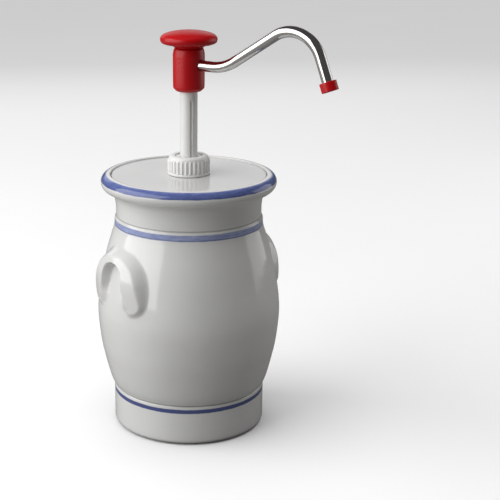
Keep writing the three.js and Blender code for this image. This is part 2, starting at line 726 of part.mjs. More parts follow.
const dispenser = new THREE.Group();
dispenser.add(
  crock(),
  lid(),
  pumpCylinder(),
  flangeGasket(),
  rodGuide(),
  rodWiper(),
  collarNut(),
  nutWasher(),
  valveHousing(),
  piece('housing_oring', torus(BORE_RADIUS - 1.15, SEAL_ROUND, HOUSING_SEAL_HEIGHT), rubber),
  crossPin('intake_stop_pin', 1, 9, INTAKE_PIN_HEIGHT),
  ball('intake_ball', INTAKE_BALL_RADIUS, INTAKE_SEAT_RADIUS, VALVE_SEAT_HEIGHT),
  suctionTube(),
  returnSpring(),
  pistonRod(),
  piston(),
  piece('piston_oring', torus(BORE_RADIUS - 1.15, SEAL_ROUND, PISTON_SEAL_HEIGHT), rubber),
  ball('discharge_ball', DISCHARGE_BALL_RADIUS, DISCHARGE_SEAT_RADIUS, ROD_BOTTOM - GAP),
  crossPin('discharge_stop_pin', 0.8, 8.5, DISCHARGE_PIN_HEIGHT),
  pumpHead(),
  piece('head_oring', torus(ROD_RADIUS + 1, HEAD_SEAL_ROUND, HEAD_SEAL_HEIGHT), rubber),
  knob(),
  spoutTube(),
  spoutOring(),
  nozzleCap(),
);

export default dispenser;
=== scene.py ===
import json
import math

import bpy
import numpy as np
from mathutils import Matrix, Vector


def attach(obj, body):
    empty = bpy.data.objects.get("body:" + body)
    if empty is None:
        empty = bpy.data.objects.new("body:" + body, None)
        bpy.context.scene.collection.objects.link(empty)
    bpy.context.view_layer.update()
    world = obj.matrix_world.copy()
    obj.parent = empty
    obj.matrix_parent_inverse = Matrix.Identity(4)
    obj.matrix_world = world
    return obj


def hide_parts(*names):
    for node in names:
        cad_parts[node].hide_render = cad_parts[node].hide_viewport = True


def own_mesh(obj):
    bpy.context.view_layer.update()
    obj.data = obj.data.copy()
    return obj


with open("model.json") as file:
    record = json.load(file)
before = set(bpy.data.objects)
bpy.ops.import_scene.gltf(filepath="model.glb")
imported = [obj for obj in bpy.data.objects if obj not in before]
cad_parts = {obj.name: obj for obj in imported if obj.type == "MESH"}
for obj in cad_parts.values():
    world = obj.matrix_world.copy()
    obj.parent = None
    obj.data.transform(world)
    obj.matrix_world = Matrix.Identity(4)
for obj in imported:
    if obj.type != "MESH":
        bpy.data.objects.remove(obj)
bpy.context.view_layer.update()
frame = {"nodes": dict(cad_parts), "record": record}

# Outlines are in millimetres, as (radius, height) or (radius, height, corner rounding).
MM = 0.001

# ------------------------------------------------------------------ sizes
# They are the frame's own, except for the lugs, which are fuller here, and the keyway, which is shallower.

BEAD_RADIUS = 82.5
BEAD_HEIGHT = 262.5
BEAD_ROUND = 8.35
LID_SEAT = 262.3
LID_TOP = 269.6
# Horseshoe lugs: the angle is in degrees about Z, and the second lug is opposite
LUG_ANGLE = -107
LUG_TOP = 204
LUG_FOOT = 138
LUG_HALF_WIDTH = 43
LUG_FOOT_WIDTH = 31
LUG_ARCH_TOP = 187
LUG_REACH = 10.0
LUG_FOOT_REACH = 2.4
# The lug swells over LUG_SWELL from LUG_UNDERRUN below its foot. At the top it dies away over
# LUG_FADE, and ends LUG_OVERRUN above its outline.
LUG_SWELL = 44
LUG_UNDERRUN = 4
LUG_FADE = 9
LUG_OVERRUN = 3
# The toes' own form holds below LUG_TOE_TOP and gives way to the arch's over LUG_TOE_BLEND
LUG_TOE_TOP = 147
LUG_TOE_BLEND = 24
# How far above and below a lug the wall is finely divided, the least radius of its outside, and the
# steps up its outline there and elsewhere
LUG_MARGIN_ABOVE = 6
LUG_MARGIN_BELOW = 8
WALL_OUTSIDE = 72
WALL_STEP_FINE = 0.8
WALL_STEP = 3
# The crock is out of round by this much, except within EVEN_RADIUS of its axis
OUT_OF_ROUND = 0.25
EVEN_RADIUS = 60
NUT_BOTTOM = 269.9
NUT_TOP = 289.5
NUT_RADIUS = 20.6
NUT_RIBS = 30
RIB_HEIGHT = 1.25
RIBS_BOTTOM = NUT_BOTTOM + 3.1
RIBS_TOP = NUT_TOP - 4.6
NECK_TOP = 285.5
NECK_ROOT = 15.2
THREAD_PITCH = 3
THREAD_WIRE = 0.95
THREAD_TURNS = 3
THREAD_BOTTOM = 274.2
ROD_RADIUS = 8.9
ROD_BOTTOM = 242
ROD_TOP = 375.5
KEYWAY_ANGLE = -35.5
KEYWAY_WIDTH = 3
KEYWAY_DEPTH = 1.1
KEYWAY_TOP = 346.4
KEYWAY_BOTTOM = 258
HEAD_BOTTOM = 355.4
HEAD_TOP = 398.6
HEAD_RADIUS = 16
# A round moulding mark on the barrel: its angle in degrees, height, radius, line width and depth
MARK_ANGLE = -91
MARK_HEIGHT = 386
MARK_RADIUS = 2.6
MARK_LINE = 0.35
MARK_DEPTH = 0.16
SPOUT_HEIGHT = 382.3
SPOUT_RADIUS = 5.5
SPOUT_BORE = 4.6
SPOUT_START = 6
SPOUT_TIP_LEAN = math.radians(21.3)
SPOUT_RISE = math.radians(31.7)
SPOUT_FIRST_BEND = 50.2
SPOUT_CREST_BEND = 35.3
# Length and bend (1 / radius) of each stretch of the spout's centre line
SPOUT_STRETCHES = [
    (30.3, 0),
    (SPOUT_FIRST_BEND * SPOUT_RISE, 1 / SPOUT_FIRST_BEND),
    (55, 0),
    (SPOUT_CREST_BEND * (SPOUT_RISE + math.pi / 2 - SPOUT_TIP_LEAN), -1 / SPOUT_CREST_BEND),
    (30, 0),
]
TUBE_BOTTOM = 26
TUBE_TOP = 133.7
TUBE_RADIUS = 8
TUBE_BORE = 6
# The tube's foot is cut on a slant, and the cut crosses the axis this far above the tube's bottom
TUBE_CUT_SLANT = math.radians(30)
TUBE_CUT_MIDDLE = 5.32
SPRING_FOOT = 159.8
SPRING_TOP = 235.7
SPRING_RADIUS = 10.8
SPRING_WIRE = 0.8
SPRING_TURNS = 9
# Steps in a turn of the thread or the spring, and sides of their wire
COIL_STEPS = 36
WIRE_SIDES = 10

# ------------------------------------------------------------------ painted bands and painted groove shade, in metres

NECK_BAND = (0.2184, 0.2246)
NECK_BAND_EDGE = (0.2182, 0.2194)
# The two crease heights are painted shade: dark lines in the groove above the neck's ledge and in the groove
# above the foot
NECK_CREASE_SHADE = (0.2271, 0.2284)
FOOT_BAND = (0.0354, 0.0397)
FOOT_CREASE_SHADE = (0.0426, 0.0438)


# ------------------------------------------------------------------ mesh helpers


def mesh_object(name, verts, faces, sharp=40):
    """A smooth-shaded mesh object from millimetre vertices."""
    mesh = bpy.data.meshes.new(name)
    mesh.from_pydata((np.asarray(verts) * MM).tolist(), [], faces)
    mesh.polygons.foreach_set("use_smooth", [True] * len(mesh.polygons))
    mesh.set_sharp_from_angle(angle=math.radians(sharp))
    mesh.update()
    piece = bpy.data.objects.new(name, mesh)
    bpy.context.scene.collection.objects.link(piece)
    return piece


def rounded(corners, steps=6, closed=False):
    """The outline with each corner that has a third number eased by that rounding."""
    points = []
    count = len(corners)
    for i, corner in enumerate(corners):
        here = np.array(corner[:2], float)
        ease = corner[2] if len(corner) > 2 else 0
        if ease == 0 or (not closed and i in (0, count - 1)):
            points.append(here)
            continue
        before = np.array(corners[i - 1][:2], float) - here
        after = np.array(corners[(i + 1) % count][:2], float) - here
        reach = min(ease, 0.49 * np.linalg.norm(before), 0.49 * np.linalg.norm(after))
        start = here + before / np.linalg.norm(before) * reach
        end = here + after / np.linalg.norm(after) * reach
        for k in range(steps + 1):
            u = k / steps
            points.append((1 - u) ** 2 * start + 2 * u * (1 - u) * here + u * u * end)
    return np.array(points)


def arc(radius, height, round_, start, end, steps):
    """Points of an arc in the section plane, from one angle to another in degrees."""
    angles = np.radians(np.linspace(start, end, steps + 1))
    return np.stack([radius + round_ * np.cos(angles), height + round_ * np.sin(angles)], axis=1)


def spline(points, steps):
    """A Catmull-Rom line through points, with that many steps between neighbours."""
    p = np.array(points, float)
    p = np.vstack([2 * p[0] - p[1], p, 2 * p[-1] - p[-2]])
    out = []
    for a, b, c, d in zip(p[:-3], p[1:-2], p[2:-1], p[3:]):
        slope = c - a
        bend = 2 * a - 5 * b + 4 * c - d
        twist = 3 * b - a - 3 * c + d
        for k in range(steps):
            t = k / steps
            out.append(0.5 * (2 * b + slope * t + bend * t**2 + twist * t**3))
    out.append(p[-2])
    return np.array(out)


def spaced(outline, step):
    """The outline with extra points so that none are further apart than step."""
    out = [outline[0]]
    for a, b in zip(outline[:-1], outline[1:]):
        parts = max(1, math.ceil(np.linalg.norm(b - a) / step))
        out += [a + (b - a) * k / parts for k in range(1, parts + 1)]
    return np.array(out)


def revolved(name, outline, sides=96, angles=None, shape=None, sharp=40):
    """Turns an outline about Z. It goes up the outside and down the inside, and ends on the axis
    or closes on itself. shape(radius, height, angle) may return other radii."""
    outline = np.asarray(outline, float)
    if angles is None:
        angles = np.linspace(0, 2 * math.pi, sides, endpoint=False)
    sides = len(angles)
    verts, rings = [], []
    for radius, height in outline:
        start = len(verts)
        if radius < 1e-6:
            verts.append((0, 0, height))
            rings.append([start] * sides)
            continue
        radii = np.full(sides, radius)
        if shape is not None:
            radii = shape(radii, height, angles)
        ring = np.stack([radii * np.cos(angles), radii * np.sin(angles), np.full(sides, height)], axis=1)
        verts += ring.tolist()
        rings.append(list(range(start, start + sides)))
    on_axis = outline[0][0] < 1e-6 and outline[-1][0] < 1e-6
    pairs = list(zip(rings[:-1], rings[1:]))
    if not on_axis:
        pairs.append((rings[-1], rings[0]))
    faces = []
    for low, high in pairs:
        for j in range(sides):
            k = (j + 1) % sides
            face = [low[j], low[k], high[k], high[j]]
            faces.append([v for n, v in enumerate(face) if v != face[n - 1]])
    return mesh_object(name, verts, faces, sharp)


def swept(name, rings, closed=False):
    """A skin over rings of points. The last ring joins the first, or both ends have a flat cap."""
    verts = np.vstack(rings)
    count = len(rings)
    sides = len(rings[0])
    faces = []
    for i in range(count if closed else count - 1):
        n = (i + 1) % count
        for j in range(sides):
            k = (j + 1) % sides
            faces.append([i * sides + j, i * sides + k, n * sides + k, n * sides + j])
    if not closed:
        last = (count - 1) * sides
        faces.append(list(range(sides))[::-1])
        faces.append(list(range(last, last + sides)))
    return mesh_object(name, verts, faces)


def smooth_step(x):
    x = np.clip(x, 0, 1)
    return x * x * (3 - 2 * x)


def drifting(angles, heights, seed, waves):
    """A slow wave over angle and height, between about -1 and 1, for hand-made unevenness."""
    rng = np.random.default_rng(seed)
    total = np.zeros(np.broadcast(angles, heights).shape)
    for _ in range(waves):
        around = rng.integers(1, 6)
        total = total + np.sin(around * angles + rng.uniform(0.01, 0.06) * heights + rng.uniform(0, 6.28))
    return total / waves


# ------------------------------------------------------------------ crock


def bezier(p0, p1, p2, p3, steps):
    """Points of a cubic curve from p0 to p3."""
    t = np.linspace(0, 1, steps + 1)[:, None]
    p0, p1, p2, p3 = (np.array(p, float) for p in (p0, p1, p2, p3))
    return (1 - t) ** 3 * p0 + 3 * (1 - t) ** 2 * t * p1 + 3 * (1 - t) * t**2 * p2 + t**3 * p3


def lug_lines():
    """The horseshoe's outer and inner edges: across the wall, and height."""
    foot = LUG_FOOT_WIDTH / 2
    leg = LUG_HALF_WIDTH - foot
    low = LUG_FOOT + foot
    gap = leg - foot
    half = bezier((0, LUG_TOP), (27, LUG_TOP), (LUG_HALF_WIDTH, 184), (LUG_HALF_WIDTH, low), 24)
    toe = arc(leg, low, foot, 0, -130, 12)[1:]
    heel = arc(leg, low, foot, -130, -180, 5)
    inside = bezier((gap, low), (gap + 3, 172), (13, LUG_ARCH_TOP), (0, LUG_ARCH_TOP), 20)[1:]
    outer = np.vstack([half, toe])
    inner = np.vstack([heel, inside])
    mirror = np.array([-1, 1])
    return np.vstack([(outer * mirror)[::-1], outer[1:]]), np.vstack([inner, (inner * mirror)[::-1][1:]])


LUG_OUTER, LUG_INNER = lug_lines()


def distance_to_line(points, line):
    """How far each point is from the nearest stretch of a line."""
    best = np.full(len(points), 1e9)
    for a, b in zip(line[:-1], line[1:]):
        along = b - a
        t = np.clip(((points - a) @ along) / (along @ along), 0, 1)
        best = np.minimum(best, np.linalg.norm(points - a - t[:, None] * along, axis=1))
    return best


def inside_lug(points):
    """Which points lie inside the horseshoe, by counting the edges crossed on the way out."""
    loop = np.vstack([LUG_OUTER, LUG_INNER])
    inside = np.zeros(len(points), bool)
    for (x0, y0), (x1, y1) in zip(loop, np.roll(loop, -1, axis=0)):
        crosses = (points[:, 1] < y0) != (points[:, 1] < y1)
        if y0 == y1:
            continue
        inside ^= crosses & (points[:, 0] < (x1 - x0) * (points[:, 1] - y0) / (y1 - y0) + x0)
    return inside


def lug_height(across, height):
    """How far the lug stands out of the wall. The crest runs from just above the arch to the toes' outer
    edge, so the outside is a wide slope at the top and steep at the toes, and the inside the reverse."""
    points = np.stack([across, np.full(len(across), float(height))], axis=1)
    outer = distance_to_line(points, LUG_OUTER)
    inner = distance_to_line(points, LUG_INNER)
    beyond = ~inside_lug(points)
    from_outer = np.where(beyond & (outer < inner), -outer, outer)
    from_inner = np.where(beyond & (inner <= outer), -inner, inner)
    toe = 1 - smooth_step((height - LUG_TOE_TOP) / LUG_TOE_BLEND)
    slope_overlap = 2.2 - 0.8 * toe
    slope_width = 12.2 - 5.0 * toe
    lip_overlap = 0.9 + 0.6 * toe
    lip_width = 4.4 + 8 * toe
    slope = smooth_step((from_outer + slope_overlap) / slope_width)
    lip = smooth_step((from_inner + lip_overlap) / lip_width)
    body = smooth_step((height - LUG_FOOT + LUG_UNDERRUN) / LUG_SWELL)
    top = math.sin(math.pi / 2 * min(1, max(0, (LUG_TOP + LUG_OVERRUN - height) / LUG_FADE)))
    reach = (LUG_FOOT_REACH + (LUG_REACH - LUG_FOOT_REACH) * body) * top
    return reach * slope * lip


def beside_lugs(radius, height):
    """Whether a place on the wall's outline is on the outside, at the height of the lugs."""
    return radius > WALL_OUTSIDE and LUG_FOOT - LUG_MARGIN_BELOW < height < LUG_TOP + LUG_MARGIN_ABOVE


def crock_shape(radii, height, angles):
    """The wall as it was thrown: slightly out of round, with faint rings, and with the lugs on it."""
    radius = radii[0]
    if radius < EVEN_RADIUS:
        return radii
    wobble = OUT_OF_ROUND * drifting(angles, height, seed=4, waves=5)
    rings = 0.012 * math.sin(height * 0.55) + 0.008 * math.sin(height * 1.31 + 1)
    bump = np.zeros(len(angles))
    if beside_lugs(radius, height):
        for turn in (LUG_ANGLE, LUG_ANGLE + 180):
            delta = angles - math.radians(turn)
            near = np.cos(delta) > 0.75
            bump[near] += lug_height(radius * np.sin(delta[near]), height)
    soft = np.clip(abs(height - LID_SEAT) / 10, 0, 1)
    return radii + (wobble + rings) * soft + bump


def crock():
    wall = [
        (80.6, 44.6), (84.2, 53.5), (89.2, 73), (93.2, 93), (95.9, 121), (94.8, 142),
        (91, 165), (86.4, 187), (82.2, 202), (78.4, 214),
    ]
    foot = rounded([
        (0, 0), (69, 0, 3), (80, 1.6, 4), (80, 40.2, 1), (79.9, 42, 0.7), (78.9, 42.9, 0.5),
        (79.1, 43.8, 0.5), (80.6, 44.6),
    ])
    shoulder = rounded(
        [(78.4, 214), (77.4, 218, 2), (77.2, 225.2, 0.8), (75.9, 226.4, 0.9), (75.6, 230, 2), (75.8, 240, 5),
         (77.2, 248, 4), (80.2, 253.6, 1.5), (81.8, 254.15)],
    )
    bead = arc(BEAD_RADIUS, BEAD_HEIGHT, BEAD_ROUND, -95, 98, 36)
    seat = rounded([
        (81.1, 270.7), (80.6, 269.6, 0.8), (80.6, LID_SEAT, 0.5), (70, LID_SEAT, 1.2), (70, 256, 3),
    ])
    inside = spline(
        [(70, 256), (67.3, 248), (67.3, 228), (68.7, 218), (73.7, 202), (77.9, 187), (82.5, 165), (86.3, 142),
         (87.4, 121), (84.7, 93), (75.7, 52), (71, 34)], 6,
    )
    floor = rounded([(71, 34), (71, 22), (69, 10, 10), (0, 10)], steps=8)
    outline = np.vstack([
        foot, spline(wall, 20)[1:-1], shoulder, bead, seat[1:], inside[1:], floor[1:],
    ])
    fine = []
    for a, b in zip(outline[:-1], outline[1:]):
        middle = (a + b) / 2
        step = WALL_STEP_FINE if beside_lugs(*middle) else WALL_STEP
        parts = max(1, math.ceil(np.linalg.norm(b - a) / step))
        fine += [a + (b - a) * k / parts for k in range(parts)]
    fine.append(outline[-1])
    # Finer angles across each lug than between them
    near = np.radians(np.arange(-32, 32, 0.4))
    rest = np.radians(np.arange(32, 148, 1.2))
    turn = math.radians(LUG_ANGLE)
    angles = np.concatenate([turn + near, turn + rest, turn + math.pi + near, turn + math.pi + rest])
    return revolved("crock_glazed", fine, angles=angles, shape=crock_shape, sharp=60)


# ------------------------------------------------------------------ lid


def lid():
    under = LID_SEAT + 0.3
    low = under - 8
    outline = rounded([
        (16.8, under, 0.6), (61.5, under, 1.5), (62.5, low, 1.2), (66.5, low, 1.2), (66.5, under, 1.5),
        (79.4, under, 0.6), (80, under + 1.2, 0.8), (80, LID_TOP, 1.2), (16.8, LID_TOP, 0.9),
    ], closed=True)
    return revolved("lid_glazed", spaced(outline, 6), sides=192)


# ------------------------------------------------------------------ pump cylinder


def coil(name, radius, wire, pitch, turns, bottom):
    """A wire wound round Z, with both ends thinned."""
    rings = []
    count = int(turns * COIL_STEPS)
    lead = math.atan2(pitch, 2 * math.pi * radius)
    for i in range(count + 1):
        angle = 2 * math.pi * turns * i / count
        out = np.array([math.cos(angle), math.sin(angle), 0])
        up = np.array([math.sin(angle) * math.sin(lead), -math.cos(angle) * math.sin(lead), math.cos(lead)])
        centre = radius * out + np.array([0, 0, bottom + pitch * angle / (2 * math.pi)])
        around = np.linspace(0, 2 * math.pi, WIRE_SIDES, endpoint=False)
        size = wire * min(1, 0.15 + i / 8, 0.15 + (count - i) / 8)
        rings.append(centre + size * (np.cos(around)[:, None] * out + np.sin(around)[:, None] * up))
    return swept(name, rings)


def pump_cylinder():
    outline = rounded([
        (13.2, 150, 0.4), (16, 150, 0.8), (16, 255.5, 1), (18, 257.5, 1), (23, 257.5, 0.6), (23, 260.5, 0.6),
        (NECK_ROOT, 260.5, 0.3), (NECK_ROOT, NECK_TOP, 0.9), (13.2, NECK_TOP, 0.5),
    ], closed=True)
    return revolved("cylinder_moulded", spaced(outline, 8), sides=96)


def neck_thread():
    return coil("neck_thread", NECK_ROOT, THREAD_WIRE, THREAD_PITCH, THREAD_TURNS, THREAD_BOTTOM)


def rod_guide():
    bore = ROD_RADIUS + 0.3
    outline = rounded([
        (bore, 264, 0.3), (12.9, 264, 0.5), (12.9, 285.8, 0.1), (13.9, 285.8, 0.2), (13.9, 288, 0.6),
        (bore, 288, 0.8),
    ], closed=True)
    return revolved("guide_bush", outline, sides=96)


def valve_housing():
    outline = rounded([
        (3.2, 112, 0.3), (5.6, 112, 0.9), (5.6, 134, 0.2), (9.5, 134, 0.6), (9.5, 146, 0.8), (16, 146, 1),
        (16, 149.7, 0.5), (12.9, 149.7, 0.2), (12.9, 153.6, 0.3), (10.7, 153.6, 0.3), (10.7, 156.4, 0.3),
        (12.9, 156.4, 0.3), (12.9, 159.5, 0.6), (5.5, 159.5, 0.5), (5.5, 140, 0.2), (3.2, 140, 0.3),
    ], closed=True)
    return revolved("housing_moulded", outline, sides=72)


def suction_tube():
    """A tube whose foot is cut on a slant, so that it can't seal itself on the crock's floor."""
    sides = 72
    angles = np.linspace(0, 2 * math.pi, sides, endpoint=False)
    slope = math.tan(TUBE_CUT_SLANT)
    levels = np.array([0, 0.02, 0.25, 0.5, 0.75, 0.995, 1])
    rings = []
    # Down the bore and up the outside
    for radius, order in ((TUBE_BORE, levels[::-1]), (TUBE_RADIUS, levels)):
        cut = TUBE_BOTTOM + TUBE_CUT_MIDDLE - slope * radius * np.cos(angles)
        for level in order:
            heights = cut + (TUBE_TOP - cut) * level
            rings.append(np.stack([radius * np.cos(angles), radius * np.sin(angles), heights], axis=1))
    return swept("tube_suction", rings, closed=True)


# ------------------------------------------------------------------ collar nut


def nut_shape(radii, height, angles):
    """The ribs round the nut's side, which run out at both ends."""
    radius = radii[0]
    if radius < NUT_RADIUS - 1.5:
        return radii
    from_end = min(height - RIBS_BOTTOM, RIBS_TOP - height)
    fade = smooth_step((from_end + 1.0) / 1.4)
    swell = np.clip((np.cos(NUT_RIBS * angles) + 0.45) / 1.45, 0, 1) ** 0.6
    return radii + RIB_HEIGHT * fade * swell


def collar_nut():
    outline = rounded([
        (20.2, NUT_BOTTOM, 0.3), (22.0, NUT_BOTTOM, 0.7), (21.8, NUT_BOTTOM + 1.9, 0.5),
        (NUT_RADIUS, NUT_BOTTOM + 2.6, 0.5), (NUT_RADIUS, NUT_TOP - 2.2, 2.4), (18.6, NUT_TOP, 2.2),
        (14.4, NUT_TOP, 0.5), (14.4, NECK_TOP + 0.8, 0.2), (16.4, NECK_TOP + 0.6, 0.2),
        (16.4, NUT_BOTTOM + 1.6, 0.2), (20.2, NUT_BOTTOM + 1.6, 0.2),
    ], closed=True)
    fine = spaced(outline, 0.6)
    return revolved("nut_ribbed", fine, sides=NUT_RIBS * 14, shape=nut_shape, sharp=50)


def nut_washer():
    low, high = 269.9, 271.2
    outline = rounded([(17.2, low, 0.2), (20, low, 0.3), (20, high, 0.3), (17.2, high, 0.2)], closed=True)
    return revolved("washer_slip", outline, sides=96)


# ------------------------------------------------------------------ plunger


def keyway_shape(radii, height, angles):
    """The slot down the rod's side, which ends in a half round at the top."""
    if radii[0] < ROD_RADIUS - 0.5:
        return radii
    half = KEYWAY_WIDTH / 2
    over = max(0.0, height - (KEYWAY_TOP - half))
    if over >= half or height < KEYWAY_BOTTOM:
        return radii
    half = math.sqrt(half * half - over * over)
    across = radii * np.sin(angles - math.radians(KEYWAY_ANGLE))
    facing = np.cos(angles - math.radians(KEYWAY_ANGLE)) > 0
    cut = facing & (abs(across) < half)
    return np.where(cut, radii - KEYWAY_DEPTH, radii)


def piston_rod():
    outline = rounded([
        (4.5, ROD_BOTTOM, 0.3), (ROD_RADIUS, ROD_BOTTOM, 0.4), (ROD_RADIUS, ROD_TOP, 0.6),
        (4.5, ROD_TOP, 0.3),
    ], closed=True)
    levels = [ROD_BOTTOM + 6, KEYWAY_BOTTOM - 0.05, KEYWAY_BOTTOM + 0.05, 280, 300, 320, 335]
    levels += list(np.linspace(KEYWAY_TOP - 1.6, KEYWAY_TOP + 0.05, 12))
    levels += [352, 364]
    long_outside = (outline[:-1, 0] > 8) & (np.diff(outline[:, 1]) > 50)
    split = int(np.argmax(long_outside))
    column = np.array([(ROD_RADIUS, level) for level in levels])
    outline = np.vstack([outline[: split + 1], column, outline[split + 1:]])
    key = math.radians(KEYWAY_ANGLE)
    edge = math.asin(KEYWAY_WIDTH / 2 / ROD_RADIUS)
    slot = np.concatenate([np.linspace(-edge, edge, 13), [-edge - 0.004, edge + 0.004]])
    around = np.linspace(edge + 0.03, 2 * math.pi - edge - 0.03, 84)
    angles = np.sort((key + np.concatenate([slot * 0.999, around])) % (2 * math.pi))
    return revolved("rod_keyed", outline, angles=angles, shape=keyway_shape, sharp=35)


def barrel_shape(radii, height, angles):
    """A shallow round moulding mark on the barrel's side, as an ejector pin leaves."""
    if radii[0] < HEAD_RADIUS - 1:
        return radii
    across = radii * np.sin(angles - math.radians(MARK_ANGLE))
    facing = np.cos(angles - math.radians(MARK_ANGLE)) > 0
    away = np.hypot(across, height - MARK_HEIGHT)
    ring = np.exp(-(((away - MARK_RADIUS) / MARK_LINE) ** 2))
    return radii - np.where(facing, MARK_DEPTH * ring, 0)


def cut_hole(piece, radius, start, end):
    """Bores a hole along X at the spout's height."""
    bpy.ops.mesh.primitive_cylinder_add(
        vertices=96, radius=radius * MM, depth=(end - start) * MM,
        location=((start + end) / 2 * MM, 0, SPOUT_HEIGHT * MM), rotation=(0, math.pi / 2, 0),
    )
    cutter = bpy.context.object
    cut = piece.modifiers.new("spout_hole", "BOOLEAN")
    cut.operation = "DIFFERENCE"
    cut.solver = "EXACT"
    cut.object = cutter
    bpy.context.view_layer.objects.active = piece
    bpy.ops.object.modifier_apply(modifier=cut.name)
    bpy.data.objects.remove(cutter, do_unlink=True)
    piece.data.set_sharp_from_angle(angle=math.radians(40))


def pump_head():
    outline = rounded([
        (0, 372), (9.2, 372, 0.3), (9.2, HEAD_BOTTOM, 0.6), (12.4, HEAD_BOTTOM, 0.7),
        (15.9, HEAD_BOTTOM + 3.2, 1.2), (16.1, HEAD_BOTTOM + 9, 3), (16.2, HEAD_TOP - 6, 2.5),
        (15.2, HEAD_TOP - 0.9, 1.2), (14.2, HEAD_TOP, 0.6), (8.3, HEAD_TOP, 0.4), (8.3, HEAD_TOP - 8, 0.4),
        (0, HEAD_TOP - 8),
    ])
    barrel = revolved("barrel_moulded", spaced(outline, 0.8), sides=240, shape=barrel_shape)
    cut_hole(barrel, SPOUT_RADIUS + 0.4, SPOUT_START - 1, 24)
    return barrel


def knob():
    outline = rounded([
        (0, 391), (7.6, 391, 0.6), (8, 392, 0.6), (8, 398.9, 0.2), (14.2, 398.9, 0.5), (15.6, 400.1, 1.5),
        (18.5, 402.0, 3), (23.6, 402.4, 4), (28.2, 404.0, 4.2), (29.3, 408.6, 4.2), (26.4, 412.3, 4),
        (20.5, 414.3, 6), (11, 416.1, 6), (0, 416.5),
    ], steps=10)
    return revolved("knob_moulded", spaced(outline, 1.6), sides=192)


# ------------------------------------------------------------------ spout


def spout_point(distance):
    """Centre and heading of the spout's centre line at a distance from the pump's axis."""
    left, heading, x, z = distance, 0.0, 0.0, SPOUT_HEIGHT
    for length, bend in SPOUT_STRETCHES:
        run = min(left, length)
        after = heading + bend * run
        if bend == 0:
            x += run * math.cos(heading)
            z += run * math.sin(heading)
        else:
            x += (math.sin(after) - math.sin(heading)) / bend
            z += (math.cos(heading) - math.cos(after)) / bend
        heading = after
        left -= run
    return np.array([x, 0, z]), heading


SPOUT_LENGTH = sum(length for length, _ in SPOUT_STRETCHES)


def spout_tube():
    sides = 64
    around = np.linspace(0, 2 * math.pi, sides, endpoint=False)
    stations = np.linspace(SPOUT_START, SPOUT_LENGTH, 240)
    # Along the outside to the tip, round its eased edges, and back along the bore
    profile = [(s, SPOUT_RADIUS) for s in stations[:-1]]
    profile += [(SPOUT_LENGTH - 0.12, SPOUT_RADIUS - 0.03), (SPOUT_LENGTH, SPOUT_RADIUS - 0.2)]
    profile += [(SPOUT_LENGTH, SPOUT_BORE + 0.2), (SPOUT_LENGTH - 0.12, SPOUT_BORE)]
    profile += [(s, SPOUT_BORE) for s in stations[::-1][2:]]
    rings = []
    for distance, radius in profile:
        centre, heading = spout_point(distance)
        up = np.array([-math.sin(heading), 0, math.cos(heading)])
        side = np.array([0, 1, 0])
        rings.append(centre + radius * (np.cos(around)[:, None] * side + np.sin(around)[:, None] * up))
    return swept("spout_polished", rings, closed=True)


def nozzle_cap():
    outline = rounded([
        (4, -2, 0.5), (8.3, -2, 0.6), (8.3, 7.3, 0.7), (5.8, 7.3, 0.4), (5.8, -0.3, 0.1), (4, -0.3, 0.2),
    ], closed=True)
    cap = revolved("nozzle_moulded", spaced(outline, 1), sides=96)
    tip, _ = spout_point(SPOUT_LENGTH)
    cap.data.transform(Matrix.Translation(Vector(tip * MM)) @ Matrix.Rotation(-SPOUT_TIP_LEAN, 4, "Y"))
    return cap


# ------------------------------------------------------------------ materials


class Nodes:
    """Short names for making a material's node tree."""

    def __init__(self, name):
        self.material = bpy.data.materials.new(name)
        self.material.use_nodes = True
        self.tree = self.material.node_tree
        self.shader = self.tree.nodes["Principled BSDF"]
        self.place = self.add("ShaderNodeTexCoord").outputs["Object"]

    def add(self, kind, sockets=None, **settings):
        node = self.tree.nodes.new(kind)
        for key, value in settings.items():
            setattr(node, key, value)
        for key, value in (sockets or {}).items():
            self.feed(node.inputs[key], value)
        return node

    def feed(self, socket, value):
        if isinstance(value, bpy.types.NodeSocket):
            self.tree.links.new(value, socket)
        else:
            socket.default_value = value

    def math(self, operation, a, b=0.0):
        return self.add("ShaderNodeMath", {0: a, 1: b}, operation=operation).outputs[0]

    def times(self, a, b):
        return self.math("MULTIPLY", a, b)

    def noise(self, scale, detail=3, roughness=0.5, stretch=None):
        vector = self.place
        if stretch:
            vector = self.add("ShaderNodeMapping", {"Vector": vector, "Scale": stretch}).outputs[0]
        sockets = {"Vector": vector, "Scale": scale, "Detail": detail, "Roughness": roughness}
        return self.add("ShaderNodeTexNoise", sockets).outputs["Fac"]

    def span(self, value, low, high, to_low=0.0, to_high=1.0, smooth=False):
        sockets = {"Value": value, "From Min": low, "From Max": high, "To Min": to_low, "To Max": to_high}
        kind = "SMOOTHSTEP" if smooth else "LINEAR"
        return self.add("ShaderNodeMapRange", sockets, interpolation_type=kind).outputs["Result"]

    def mix(self, factor, a, b):
        """Colours mixed by a factor. The node's colour sockets are its seventh and eighth."""
        node = self.add("ShaderNodeMix", data_type="RGBA")
        self.feed(node.inputs[0], factor)
        self.feed(node.inputs[6], a)
        self.feed(node.inputs[7], b)
        return node.outputs[2]

    def bump(self, height, strength, distance, after=None):
        sockets = {"Height": height, "Strength": strength, "Distance": distance}
        if after is not None:
            sockets["Normal"] = after
        return self.add("ShaderNodeBump", sockets).outputs["Normal"]

    def finish(self, **sockets):
        for key, value in sockets.items():
            self.feed(self.shader.inputs[key.replace("_", " ")], value)
        return self.material


def rgb(r, g, b):
    return (r, g, b, 1)


